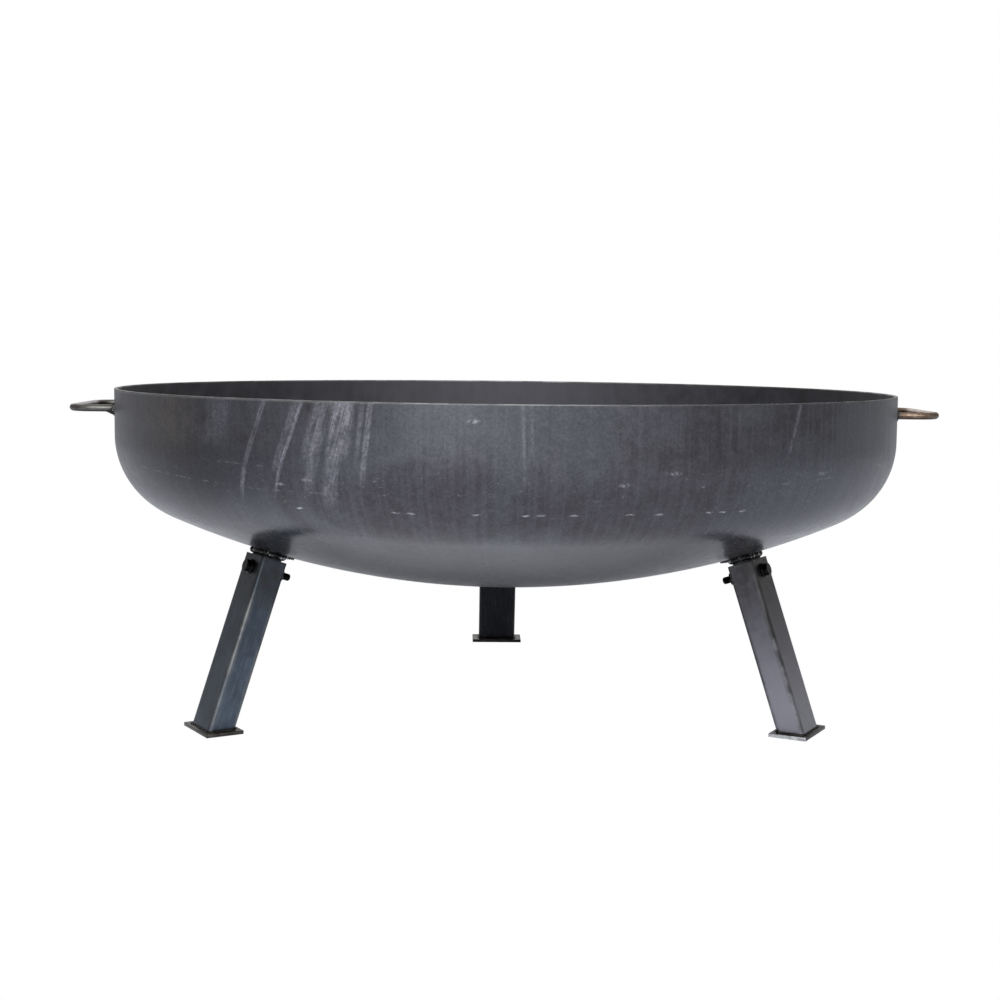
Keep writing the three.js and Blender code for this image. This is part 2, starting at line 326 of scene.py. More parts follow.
def around(surface, place):
    """The direction from the bowl's axis, of length one, and the height: seamless all the way round."""
    x, y, z = surface.split(place)
    flat = surface.join(x, y, 0.0)
    direction = surface.node("VectorMath", {0: flat}, operation="NORMALIZE").outputs[0]
    return direction, z


def azimuth_from_front(surface, place):
    """Degrees round the axis from the open side, positive to the right."""
    x, y, _ = surface.split(place)
    away = surface.times(y, -1.0)
    return surface.times(surface.maths("ARCTAN2", x, away), 180 / math.pi)


def upright_marks(surface, direction, height, count):
    """Noise drawn out along the wall's height."""
    x, y, _ = surface.split(direction)
    place = surface.join(surface.times(x, count), surface.times(y, count), surface.times(height, 3.0))
    return surface.noise(place, 1.0, 4.0, 0.6)


def rubbed_streaks(surface, angle, drop, speckle):
    """Marks where something was dragged up the wall, fanning out below: 0 where there are none."""
    spread = surface.plus(surface.times(drop, 1.7), 1.0)
    steady = surface.maths("DIVIDE", angle, spread)
    line_place = surface.join(surface.times(steady, 5.0), surface.times(drop, 14.0), 0.0)
    lines = surface.noise(line_place, 1.0, 4.0, 0.7)
    patch_place = surface.join(surface.times(steady, 0.7), surface.times(drop, 45.0), 5.0)
    patches = surface.noise(patch_place, 1.0, 3.0, 0.6)
    broken = surface.ramp(lines, 0.34, 0.58, 0.35, 1.0)
    broken = surface.times(broken, surface.ramp(speckle, 0.36, 0.6, 0.55, 1.0))
    broken = surface.times(broken, surface.ramp(patches, 0.36, 0.52, 0.45, 1.0))
    total = 0.0
    for centre, half_width, slant, length, strength in RUBBED_MARKS:
        middle = surface.plus(surface.times(drop, slant), centre)
        away = surface.maths("ABSOLUTE", surface.maths("SUBTRACT", angle, middle))
        across = surface.ramp(away, half_width * 0.45, half_width, 1.0, 0.0)
        along = surface.ramp(drop, 0.7 * length * MM, length * MM, strength, 0.0)
        total = surface.plus(total, surface.times(across, along))
    return surface.times(surface.maths("MINIMUM", total, 1.0), broken)


def nicks(surface, angle, drop, speckle):
    """Nicks, smears and thin scratches on and above the knuckle."""
    ripple = surface.noise(surface.join(surface.times(angle, 0.9), surface.times(drop, 60.0), 3.0), 1.0, 3.0)
    wavy = surface.plus(drop, surface.times(surface.plus(ripple, -0.5), 5 * MM))
    lengths = surface.noise(surface.join(surface.times(angle, 0.45), 1.0, 0.0), 1.0, 2.0)
    nick_degrees, nick_height = NICK_HALF_SIZE
    row = surface.bell(wavy, NICK_ROW, nick_height)
    row = surface.times(row, surface.ramp(lengths, 0.35, 0.65, 0.5, 1.0))
    total = 0.0
    for centre in KNUCKLE_NICKS:
        total = surface.plus(total, surface.times(surface.bell(angle, centre, nick_degrees), row))
    smear_degrees, smear_height = SMEAR_HALF_SIZE
    for centre, below in SMEARS:
        spot = surface.bell(angle, centre, smear_degrees)
        spot = surface.times(spot, surface.bell(wavy, below * MM, smear_height))
        total = surface.plus(total, surface.times(spot, surface.ramp(speckle, 0.45, 0.6, 0.08, 0.4)))
    for start, end, below, slope in LONG_SCRATCHES:
        line = surface.plus(surface.times(surface.plus(angle, -start), slope * MM), below * MM)
        on_line = surface.bell(surface.maths("SUBTRACT", wavy, line), 0.0, SCRATCH_HALF_WIDTH)
        between = surface.ramp(surface.bell(angle, (start + end) / 2, (end - start) / 2), 0.0, 0.3, 0.0, 0.16)
        broken = surface.times(surface.ramp(ripple, 0.46, 0.56), between)
        total = surface.plus(total, surface.times(on_line, broken))
    scratch_place = surface.join(surface.times(angle, 0.8), surface.times(drop, 330.0), 7.0)
    scratches = surface.ramp(surface.noise(scratch_place, 1.0, 4.0, 0.7, 1.2), 0.6, 0.7)
    cluster_place = surface.join(surface.times(angle, 0.16), surface.times(drop, 30.0), 2.0)
    clusters = surface.noise(cluster_place, 1.0, 2.0)
    zone = surface.times(surface.bell(drop, 82 * MM, 34 * MM), surface.ramp(clusters, 0.42, 0.56))
    total = surface.plus(total, surface.times(scratches, surface.times(zone, 0.35)))
    return surface.times(surface.maths("MINIMUM", total, 1.0), surface.ramp(speckle, 0.38, 0.52, 0.35, 1.0))


def mill_scale_outside():
    """Blue-grey mill scale with rubbed streaks, a brown stain, painted shade over the left of the wall and
    bright nicks on the knuckle.
    """
    s = Surface("mill_scale_outside")
    place = s.place()
    direction, height = around(s, place)
    drop = s.maths("SUBTRACT", RIM_HEIGHT, height)
    angle = azimuth_from_front(s, place)

    cloud = s.noise(place, 9.0, 4.0, 0.55, 0.6)
    mottle = s.noise(place, 80.0, 6.0, 0.7)
    speckle = s.noise(place, 300.0, 4.0, 0.7)
    fine = s.noise(place, 520.0, 3.0, 0.6)
    drawn = upright_marks(s, direction, height, 75.0)

    colour = s.mix(s.ramp(cloud, 0.4, 0.6), grey(0.054, (1.04, 0.97, 1.08)), grey(0.077, (0.95, 0.99, 1.1)))
    colour = s.mix(s.ramp(mottle, 0.36, 0.66, 0.0, 0.3), colour, grey(0.105, SCALE_TINT))
    colour = s.mix(s.ramp(drawn, 0.4, 0.7, 0.0, 0.3), colour, grey(0.115, SCALE_TINT))

    brown = s.times(s.bell(angle, -50.5, 10.0), s.ramp(drop, 35 * MM, 75 * MM, 1.0, 0.0))
    brown = s.times(brown, s.ramp(mottle, 0.3, 0.7, 0.3, 1.0))
    colour = s.mix(brown, colour, grey(0.095, WARM_SCALE))

    # Painted shade: the wall and knuckle left of the open side are darkened.
    painted_shade_left = s.times(s.bell(angle, -44.0, 24.0), s.bell(drop, 78 * MM, 52 * MM))
    colour = s.mix(s.times(painted_shade_left, 0.8), colour, grey(0.038, SCALE_TINT))
    worn = s.times(s.ramp(drop, 1.0 * MM, 2.6 * MM, 1.0, 0.0), s.ramp(angle, -32.0, -12.0, 0.75, 0.1))
    colour = s.mix(worn, colour, grey(0.2))

    rubbed = rubbed_streaks(s, angle, drop, speckle)
    colour = s.mix(rubbed, colour, grey(0.27, SCALE_TINT))
    nicked = nicks(s, angle, drop, speckle)
    colour = s.mix(nicked, colour, grey(0.42))
    grain = s.ramp(s.plus(s.times(fine, 0.5), s.times(speckle, 0.5)), 0.36, 0.64, 0.85, 1.15)
    colour = s.mix(1.0, colour, s.join(grain, grain, grain), "MULTIPLY")

    crown = s.ramp(drop, 95 * MM, 140 * MM)
    roughness = s.plus(s.ramp(mottle, 0.3, 0.7, 0.35, 0.42), s.times(crown, -0.14))
    relief = s.times(s.plus(s.times(mottle, 0.7), s.times(fine, 0.3)), s.ramp(crown, 0.0, 1.0, 1.0, 0.25))
    return s.metal(colour, roughness, relief, 0.1 * MM)


def mill_scale_inside():
    """Duller scale inside the bowl, paler low down, with faint upright marks."""
    s = Surface("mill_scale_inside")
    place = s.place()
    direction, height = around(s, place)
    mottle = s.noise(place, 45.0, 6.0, 0.65)
    fine = s.noise(place, 380.0, 3.0, 0.6)
    drawn = upright_marks(s, direction, height, 40.0)
    colour = s.mix(s.ramp(mottle, 0.3, 0.7), grey(0.065, SCALE_TINT), grey(0.088, SCALE_TINT))
    colour = s.mix(s.ramp(drawn, 0.4, 0.75, 0.0, 0.35), colour, grey(0.1, BLUE_SCALE))
    low_down = s.ramp(height, RIM_HEIGHT - 110 * MM, RIM_HEIGHT - 45 * MM, 0.75, 0.0)
    colour = s.mix(low_down, colour, grey(0.16, SCALE_TINT))
    cloud = s.noise(place, 6.0, 4.0, 0.6)
    colour = s.mix(s.ramp(cloud, 0.42, 0.62, 0.0, 0.35), colour, grey(0.06, SCALE_TINT))
    relief = s.plus(s.times(mottle, 0.7), s.times(fine, 0.3))
    return s.metal(colour, s.ramp(mottle, 0.3, 0.7, 0.58, 0.7), relief, 0.12 * MM)


def cut_edge():
    """Steel cut and ground at the rim: brighter than the scale, dull in stretches, darker at the right."""
    s = Surface("cut_edge")
    place = s.place()
    dull = s.noise(place, 30.0, 4.0, 0.6)
    fine = s.noise(place, 700.0, 2.0, 0.5)
    colour = s.mix(s.ramp(dull, 0.4, 0.6), grey(0.1), grey(0.19))
    angle = azimuth_from_front(s, place)
    colour = s.mix(s.bell(angle, 28.0, 36.0), colour, grey(0.075))
    return s.metal(colour, s.ramp(fine, 0.3, 0.7, 0.5, 0.62), fine, 0.05 * MM)


def leg_steel(place, shift, low, high, edge, polish):
    """Cold-formed tube: grain along its length, corners in a tone that is partly wear and partly painted
    light, and a foot paler by polish.
    """
    s = Surface(f"leg_steel_{place}")
    moved = s.node("VectorMath", {0: s.place(), 1: (shift, 0.0, 0.0)}, operation="ADD").outputs[0]
    lengthwise = s.scaled(moved, (1.0, 1.0, 0.06))
    grain = s.noise(lengthwise, 600.0, 4.0, 0.6)
    cloud = s.noise(moved, 14.0, 4.0, 0.55)
    mottle = s.noise(moved, 90.0, 5.0, 0.6)
    tone = s.plus(s.times(cloud, 0.6), s.times(mottle, 0.4))
    colour = s.mix(s.ramp(tone, 0.38, 0.62), low, high)
    colour = s.mix(s.ramp(grain, 0.45, 0.75, 0.0, 0.3), colour, grey(0.17))
    up = s.plus(s.split(moved)[2], s.times(cloud, 40 * MM))
    colour = s.mix(s.ramp(up, 30 * MM, 160 * MM, polish, 0.0), colour, grey(0.26, SCALE_TINT))
    # The corners take the edge tone: partly wear and partly painted light, a painted highlight on the left
    # leg and a painted shade line on the right.
    rubbed = s.times(s.attribute("corner"), s.ramp(s.noise(moved, 60.0, 3.0), 0.35, 0.6, 0.35, 1.0))
    rubbed = s.times(rubbed, s.ramp(up, LEG_LENGTH - 45 * MM, LEG_LENGTH - 10 * MM, 1.0, 0.0))
    rubbed = s.times(rubbed, s.ramp(up, 20 * MM, LEG_LENGTH - 70 * MM, 0.6, 1.0))
    colour = s.mix(rubbed, colour, edge)
    near_top = s.ramp(up, LEG_LENGTH - 60 * MM, LEG_LENGTH, 0.0, 0.8)
    singed = s.times(near_top, s.ramp(mottle, 0.35, 0.65, 0.4, 1.0))
    colour = s.mix(singed, colour, grey(0.03, WARM_SCALE))
    roughness = s.ramp(mottle, 0.3, 0.7, 0.3, 0.42)
    return s.metal(colour, roughness, s.plus(s.times(grain, 0.5), mottle), 0.06 * MM)


def plain_steel(name, low, high, scale=90.0, rough=(0.35, 0.5), depth=0.08, bright=0.0):
    """Steel whose tone wanders between two colours, with a fine uneven skin and perhaps a few bright bits."""
    s = Surface(name)
    place = s.place()
    cloud = s.noise(place, scale, 5.0, 0.6)
    fine = s.noise(place, scale * 9, 3.0, 0.6)
    tone = s.plus(s.times(cloud, 0.7), s.times(fine, 0.3))
    colour = s.mix(s.ramp(tone, 0.36, 0.64), low, high)
    if bright:
        colour = s.mix(s.ramp(cloud, 0.56, 0.62, 0.0, bright), colour, grey(0.5))
    roughness = s.ramp(fine, 0.3, 0.7, *rough)
    return s.metal(colour, roughness, tone, depth * MM)


def handle_steel(side, low, high):
    """Bright bar with the colours of heat along it, painted shade along its underside and dark right beside
    the welds.
    """
    s = Surface(f"handle_steel_{side}")
    place = s.place()
    x, _, z = s.split(place)
    out = s.maths("SUBTRACT", s.maths("ABSOLUTE", x), RADIUS)
    wander = s.noise(s.scaled(place, (1.0, 1.0, 3.0)), 60.0, 4.0, 0.6)
    fine = s.noise(place, 600.0, 3.0, 0.6)
    colour = s.mix(s.ramp(wander, 0.4, 0.6), (*low, 1.0), (*high, 1.0))
    # Painted shade: the bar's underside is darkened.
    under = s.ramp(s.maths("SUBTRACT", z, HANDLE_HEIGHT), -3.2 * MM, -1.0 * MM, 0.95, 0.0)
    colour = s.mix(under, colour, grey(0.03))
    heat = s.plus(out, s.times(s.plus(wander, -0.5), 12 * MM))
    colour = s.mix(s.ramp(heat, -6 * MM, 1 * MM, 1.0, 0.0), colour, grey(0.04))
    return s.metal(colour, s.ramp(fine, 0.3, 0.7, 0.36, 0.46), fine, 0.02 * MM)


# ---------------------------------------------------------------- mesh helpers

def loft(rings, closed=False, caps=False):
    """Faces between successive rings of points. closed joins the last ring to the first."""
    bm = bmesh.new()
    rows = [[bm.verts.new(point) for point in ring] for ring in rings]
    count = len(rows[0])
    pairs = list(zip(rows, rows[1:]))
    if closed:
        pairs.append((rows[-1], rows[0]))
    for low, high in pairs:
        for i in range(count):
            j = (i + 1) % count
            bm.faces.new((low[i], low[j], high[j], high[i]))
    if caps:
        bm.faces.new(rows[0][::-1])
        bm.faces.new(rows[-1])
    bmesh.ops.recalc_face_normals(bm, faces=bm.faces)
    return bm


def shade(mesh, sharp=35.0):
    """Smooth shading with edges sharper than this many degrees kept."""
    mesh.shade_smooth()
    mesh.set_sharp_from_angle(angle=math.radians(sharp))


def to_object(name, bm, materials, sharp=35.0):
    mesh = bpy.data.meshes.new(name)
    bm.to_mesh(mesh)
    bm.free()
    for material in materials:
        mesh.materials.append(material)
    shade(mesh, sharp)
    piece = bpy.data.objects.new(name, mesh)
    bpy.context.scene.collection.objects.link(piece)
    return piece


def add_piece(piece, body, slot, *nodes):
    """The piece moves with a body and stands for CAD nodes. Its slot argument is not used."""
    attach(piece, body)
    if nodes:
        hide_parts(*nodes)


def ring_about_x(x, radius_at, sides):
    """Points round the X axis, radius_at(angle) away from it."""
    angles = [TAU * k / sides for k in range(sides)]
    return [(x, radius_at(a) * math.cos(a), radius_at(a) * math.sin(a)) for a in angles]


def sweep(path, radii, sides, upright, closed=False):
    """A round bar along a path. upright is a direction that is never along the path."""
    rings = []
    last = len(path) - 1
    for i, point in enumerate(path):
        before = path[i - 1] if closed or i > 0 else point
        after = path[(i + 1) % len(path)] if closed or i < last else point
        along = (after - before).normalized()
        side = along.cross(upright).normalized()
        up = side.cross(along)
        ring = []
        for k in range(sides):
            turn = TAU * k / sides
            ring.append(point + (side * math.cos(turn) + up * math.sin(turn)) * radii[i])
        rings.append(ring)
    return loft(rings, closed=closed, caps=not closed)


def weld_bead(path, radius, upright):
    """A lumpy closed bead, with the ripples of the pool as it went along."""
    radii = []
    travelled = 0.0
    for i, point in enumerate(path):
        lump = noise.noise(point * 260) * 0.22 + noise.noise(point * 900) * 0.12
        wave = abs(math.sin(math.pi * travelled / WELD_RIPPLE)) * 0.16
        radii.append(radius * (0.92 + lump + wave))
        travelled += (path[(i + 1) % len(path)] - point).length
    return sweep(path, radii, 12, upright, closed=True)


def resample(path, step):
    """A closed path with its points about one step apart."""
    points = []
    for i, start in enumerate(path):
        end = path[(i + 1) % len(path)]
        count = max(1, round((end - start).length / step))
        points += [start.lerp(end, k / count) for k in range(count)]
    return points


def rounded_rectangle(width, depth, corner):
    """Points round a rectangle with round corners, and one more just beside each end of every arc.

    Returns (x, y, closeness to a corner) for each."""
    steps = 6
    hold = 1.2 * MM
    points = []
    for k, (side_x, side_y) in enumerate(((1, 1), (-1, 1), (-1, -1), (1, -1))):
        centre = Vector((side_x * (width / 2 - corner), side_y * (depth / 2 - corner)))
        start = k * math.pi / 2
        first = centre + corner * Vector((math.cos(start), math.sin(start)))
        points.append((*(first - hold * Vector((-math.sin(start), math.cos(start)))), 0.0))
        for i in range(steps + 1):
            turn = start + math.pi / 2 * i / steps
            middle = math.sin(math.pi * i / steps)
            spot = centre + corner * Vector((math.cos(turn), math.sin(turn)))
            points.append((*spot, 0.35 + 0.65 * middle))
        end = start + math.pi / 2
        last = centre + corner * Vector((math.cos(end), math.sin(end)))
        points.append((*(last + hold * Vector((-math.sin(end), math.cos(end)))), 0.0))
    return points


def cut(piece, cutter_bm):
    """Takes the cutter's volume out of the piece."""
    mesh = bpy.data.meshes.new("cutter")
    cutter_bm.to_mesh(mesh)
    cutter_bm.free()
    cutter = bpy.data.objects.new("cutter", mesh)
    cutter.matrix_world = piece.matrix_world
    bpy.context.scene.collection.objects.link(cutter)
    modifier = piece.modifiers.new("hole", "BOOLEAN")
    modifier.operation = "DIFFERENCE"
    modifier.solver = "EXACT"
    modifier.object = cutter
    bpy.context.view_layer.update()
    evaluated = piece.evaluated_get(bpy.context.evaluated_depsgraph_get())
    result = bpy.data.meshes.new_from_object(evaluated)
    piece.modifiers.clear()
    old = piece.data
    piece.data = result
    bpy.data.meshes.remove(old)
    bpy.data.objects.remove(cutter)
    shade(piece.data)


# ---------------------------------------------------------------- bowl

def dish_profile(inset):
    """(radius, height) points of the dish, inset from its outer face, from the axis to the rim."""
    crown_steps = 44
    knuckle_steps = 24
    flange_steps = 8
    flange_foot = RIM_HEIGHT - FLANGE
    half_angle = math.asin(KNUCKLE_OFFSET / CENTRE_DISTANCE)
    points = []
    radius = CROWN_RADIUS - inset
    for i in range(crown_steps):
        angle = half_angle * i / crown_steps
        points.append((radius * math.sin(angle), CROWN_CENTRE - radius * math.cos(angle)))
    radius = KNUCKLE_RADIUS - inset
    for i in range(knuckle_steps + 1):
        angle = half_angle + (math.pi / 2 - half_angle) * i / knuckle_steps
        points.append((KNUCKLE_OFFSET + radius * math.sin(angle), flange_foot - radius * math.cos(angle)))
    for i in range(1, flange_steps + 1):
        points.append((RADIUS - inset, flange_foot + (FLANGE - 2 * RIM_EASE) * i / flange_steps))
    return points


def rim_profile():
    """The rim's two rounded edges, from the outer face to the inner one."""
    steps = 3
    level = RIM_HEIGHT - RIM_EASE
    points = []
    for centre, start in ((RADIUS - RIM_EASE, 0.0), (RADIUS - WALL + RIM_EASE, math.pi / 2)):
        for i in range(steps + 1):
            angle = start + math.pi / 2 * i / steps
            points.append((centre + RIM_EASE * math.cos(angle), level + RIM_EASE * math.sin(angle)))
    return points


def make_bowl():
    """The dish, slightly out of round, with its own steel outside, inside and on the rim."""
    profile = dish_profile(0) + rim_profile() + dish_profile(WALL)[::-1]
    rings = []
    for radius, height in profile:
        ring = []
        for k in range(BOWL_SEGMENTS):
            turn = TAU * k / BOWL_SEGMENTS
            flat = Vector((math.cos(turn), math.sin(turn), 0))
            wobble = (noise.noise(flat * 1.3 + Vector((0, 0, height * 6))) - 1) * 0.25 * MM
            ring.append(flat * max(0.0, radius + wobble * min(1.0, radius * 5)) + Vector((0, 0, height)))
        rings.append(ring)
    bm = loft(rings)
    bmesh.ops.remove_doubles(bm, verts=bm.verts, dist=1e-6)
    bmesh.ops.recalc_face_normals(bm, faces=bm.faces)
    materials = [mill_scale_outside(), mill_scale_inside(), cut_edge()]
    for face in bm.faces:
        centre = face.calc_center_median()
        if centre.z > RIM_HEIGHT - 1.5 * RIM_EASE:
            face.material_index = 2
        else:
            flat = Vector((centre.x, centre.y, 0)).normalized() if centre.xy.length > MM else Vector()
            outwards = face.normal.dot(flat) - face.normal.z
            face.material_index = 0 if outwards > 0 else 1
    bowl = to_object("bowl_dish", bm, materials)
    add_piece(bowl, "root", "mill_scale_steel", "bowl")


# ---------------------------------------------------------------- handles

def handle_path():
    """The bar's middle line, out from the wall, round two bends and back."""
    straight_steps = 6
    bend_steps = 12
    half = HANDLE_WIDTH / 2
    bend_centre = HANDLE_TIP.x - HANDLE_BAR / 2 - HANDLE_BEND
    start = math.sqrt(RADIUS**2 - half**2) - WALL / 2
    reach = bend_centre - start
    path = [Vector((start + reach * i / straight_steps, -half, 0)) for i in range(straight_steps)]
    for side, first in ((-1, -math.pi / 2), (1, 0.0)):
        for i in range(bend_steps + 1):
            turn = first + math.pi / 2 * i / bend_steps
            centre = Vector((bend_centre, side * (half - HANDLE_BEND), 0))
            path.append(centre + HANDLE_BEND * Vector((math.cos(turn), math.sin(turn), 0)))
    for i in range(1, straight_steps + 1):
        path.append(Vector((bend_centre - reach * i / straight_steps, half, 0)))
    return [point + Vector((0, 0, HANDLE_HEIGHT)) for point in path]


def handle_fillet(y):
    """The weld metal piled up under the bar's end, thin out along the bar and deep at the wall."""
    length = 9 * MM
    depth = 5.5 * MM
    sunk = 1.5 * MM
    core = 3.2 * MM
    least_sag = 1.0 * MM
    steps = 10
    sides = 24
    wall = math.sqrt(RADIUS**2 - y**2)
    rings = []
    for i in range(steps + 1):
        share = i / steps
        x = wall + length * (1 - share) - sunk * share
        sag = least_sag + depth * share**1.3
        half_width = (3.2 + 1.4 * share) * MM
        ring = []
        for k in range(sides):
            angle = TAU * k / sides
            point = Vector((x, y + half_width * math.cos(angle), HANDLE_HEIGHT))
            low = min(0.0, math.sin(angle))
            point.z += core * math.sin(angle) + low * sag
            ring.append(point + UP * (noise.noise(point * 500) * 0.6 * MM))
        rings.append(ring)
    return loft(rings, caps=True)


def add_handle_piece(name, bm, turn, material, sharp, slot, *nodes):
    """Turns a shape made at the right of the bowl round the axis, and adds it as a piece."""
    bmesh.ops.rotate(bm, verts=bm.verts, matrix=Matrix.Rotation(turn, 3, "Z"), cent=(0, 0, 0))
    add_piece(to_object(name, bm, [material], sharp), "root", slot, *nodes)


def make_handle(side, turn, finish):
    path = handle_path()
    bar = sweep(path, [HANDLE_BAR / 2] * len(path), 24, UP)
    add_handle_piece(f"handle_bar_{side}", bar, turn, finish, 35, "handle_steel", f"handle_{side}")
    around_bar = HANDLE_BAR / 2 + 0.6 * MM
    points = 60
    for end, offset in (("front", -1), ("back", 1)):
        ring = []
        for k in range(points):
            angle = TAU * k / points
            y = offset * HANDLE_WIDTH / 2 + around_bar * math.cos(angle)
            z = HANDLE_HEIGHT + around_bar * math.sin(angle)
            ring.append(Vector((math.sqrt(RADIUS**2 - y**2), y, z)))
        bead = weld_bead(ring, HANDLE_WELD_RADIUS, Vector((1, 0, 0)))
        add_handle_piece(f"handle_weld_{side}_{end}", bead, turn, WELD, 180, "stub_steel")
        if side == "left":
            fillet = handle_fillet(offset * HANDLE_WIDTH / 2)
            add_handle_piece(f"handle_fillet_{end}", fillet, turn, FOOT_WELD, 180, "stub_steel")


# ---------------------------------------------------------------- legs

def leg_matrix(place):
    """The leg's frame: Z up the tube from the plate's top, X outwards, Y along the tube's wide face."""
    joint = next(j for j in frame["joints"] if j["name"] == f"bolt_turn_{place}")
    outwards = Vector(joint["axis"]).normalized()
    sideways = UP.cross(outwards).normalized()
    upwards = outwards.cross(sideways)
    origin = Vector(joint["pos_m"]) - upwards * BOLT_HEIGHT
    matrix = Matrix((outwards, sideways, upwards)).transposed().to_4x4()
    matrix.translation = origin
    return matrix


def bolt_matrix(place):
    """The leg's frame moved up to its bolt."""
    return leg_matrix(place) @ Matrix.Translation((0, 0, BOLT_HEIGHT))


def tube_rings(size, bottoms, tops, levels):
    """Rings of a rectangular tube, up the outside and down the inside, with both ends eased."""
    ease = 0.4 * MM
    outer = rounded_rectangle(size["radial"], size["tangential"], size["corner"])
    eased = rounded_rectangle(size["radial"] - 2 * ease, size["tangential"] - 2 * ease, size["corner"] - ease)
    bore_corner = size["corner"] - size["wall"]
    bore_size = (size["radial"] - 2 * size["wall"], size["tangential"] - 2 * size["wall"])
    inner = rounded_rectangle(*bore_size, bore_corner)
    rings = [[(x, y, bottoms(x, y)) for x, y, _ in eased]]
    for i in range(levels + 1):
        share = i / levels
        ring = []
        for x, y, _ in outer:
            low = bottoms(x, y) + ease
            high = tops(x, y) - ease
            ring.append((x, y, low + (high - low) * share))
        rings.append(ring)
    rings.append([(x, y, tops(x, y)) for x, y, _ in eased])
    rings.append([(x, y, tops(x, y)) for x, y, _ in inner])
    rings.append([(x, y, bottoms(x, y)) for x, y, _ in inner])
    closeness = [value for _, _, value in outer]
    corner_values = closeness * (levels + 3) + [0.0] * (2 * len(inner))
    return rings, corner_values


def bolt_hole():
    reach = 1.2 * LEG["radial"]
    rings = [ring_about_x(x, lambda angle: DRILLED_HOLE / 2, 48) for x in (-reach, reach)]
    hole = loft(rings, caps=True)
    bmesh.ops.translate(hole, verts=hole.verts, vec=(0, 0, BOLT_HEIGHT))
    return hole


def make_tube(name, matrix, size, bottoms, tops, material, levels):
    rings, corner_values = tube_rings(size, bottoms, tops, levels)
    bm = loft(rings, closed=True)
    layer = bm.verts.layers.float.new("corner")
    for vert, value in zip(bm.verts, corner_values):
        vert[layer] = value
    piece = to_object(name, bm, [material])
    piece.matrix_world = matrix
    cut(piece, bolt_hole())
    return piece


def under_crown(matrix, x, y):
    """How far up the leg's frame the line at (x, y) meets the crown's outer face."""
    start = matrix @ Vector((x, y, 0)) - Vector((0, 0, CROWN_CENTRE))
    up = matrix.to_3x3() @ UP
    b = start.dot(up)
    return -b - math.sqrt(b * b - start.length_squared + CROWN_RADIUS**2)


def make_weld_tail(place, matrix):
    """Weld that runs on past the stub's corner, on the open side, along the crown towards the middle."""
    length = 12 * MM
    sink = 0.5 * MM
    steps = 16
    y = (1 if place == "left" else -1) * STUB["tangential"] / 2
    path = []
    radii = []
    for i in range(steps + 1):
        x = -STUB["radial"] / 2 - length * i / steps
        path.append(matrix @ Vector((x, y, under_crown(matrix, x, y) - sink)))
        radii.append((2.6 - 1.6 * i / steps + 0.5 * math.sin(i * 2.1)) * MM)
    tail = sweep(path, radii, 12, UP)
    add_piece(to_object(f"weld_tail_{place}", tail, [WELD], sharp=180), "root", "stub_steel")


def make_tube_weld(name, matrix, size, height_at, radius, upright, finish):
    """A bead round a tube, at height_at(x, y) in the leg's frame."""
    outline = rounded_rectangle(size["radial"] + MM, size["tangential"] + MM, size["corner"])
    ring = [matrix @ Vector((x, y, height_at(x, y))) for x, y, _ in outline]
    bead = weld_bead(resample(ring, WELD_STEP), radius, upright)
    add_piece(to_object(name, bead, [finish], sharp=180), "root", "stub_steel")


def make_leg(place, material):
    matrix = leg_matrix(place)
    tilt = matrix.to_3x3()
    rise_x = tilt[2][0]
    rise_z = tilt[2][2]

    def on_plate(x, y, lift=TOUCH_GAP):
        return (lift - x * rise_x) / rise_z

    def at_crown(x, y, sink=0.0):
        return under_crown(matrix, x, y) - sink

    leg = make_tube(f"leg_{place}", matrix, LEG, on_plate, lambda x, y: LEG_LENGTH, material, 24)
    add_piece(leg, "root", "leg_steel", f"leg_tube_{place}")

    stub_start = LEG_LENGTH - STUB_ENGAGEMENT
    stub = make_tube(f"stub_{place}", matrix, STUB, lambda x, y: stub_start, at_crown, STUB_STEEL, 10)
    add_piece(stub, "root", "stub_steel", f"leg_stub_{place}")

    def sunk_ring(x, y):
        return at_crown(x, y, STUB_WELD_SINK)

    name = f"stub_weld_{place}"
    make_tube_weld(name, matrix, STUB, sunk_ring, STUB_WELD_RADIUS, tilt @ UP, WELD)
    if place != "back":
        make_weld_tail(place, matrix)

    def foot_ring(x, y):
        return on_plate(x, y, 0.0)

    name = f"foot_weld_{place}"
    make_tube_weld(name, matrix, LEG, foot_ring, FOOT_WELD_RADIUS, UP, FOOT_WELD)


def make_foot_plate(place):
    low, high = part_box(f"foot_plate_{place}")
    matrix = leg_matrix(place)
    outwards = (matrix.to_3x3() @ Vector((1, 0, 0))).xy.to_3d().normalized()
    sideways = UP.cross(outwards)
    centre = (low + high) / 2
    bm = bmesh.new()
    bmesh.ops.create_cube(bm, size=1.0)
    bmesh.ops.scale(bm, verts=bm.verts, vec=(FOOT["radial"], FOOT["tangential"], FOOT["thickness"]))
    bmesh.ops.bevel(bm, geom=bm.edges[:], offset=0.5 * MM, segments=3, profile=0.5, affect="EDGES")
    for face in bm.faces:
        if face.normal.y * SAWN_FACE.get(place, 0) > 0.5:
            face.material_index = 1
    piece = to_object(f"plate_{place}", bm, [PLATE_STEEL, SAWN_STEEL])
    turn = Matrix((outwards, sideways, UP)).transposed().to_4x4()
    turn.translation = centre
    piece.matrix_world = turn
    add_piece(piece, "root", "leg_steel", f"foot_plate_{place}")


# ---------------------------------------------------------------- fasteners

def hexagon(angle):
    """Radius of a hexagon across its flats, as a share of the radius inside it."""
    part = math.pi / 3
    return 1 / math.cos((angle % part) - part / 2)


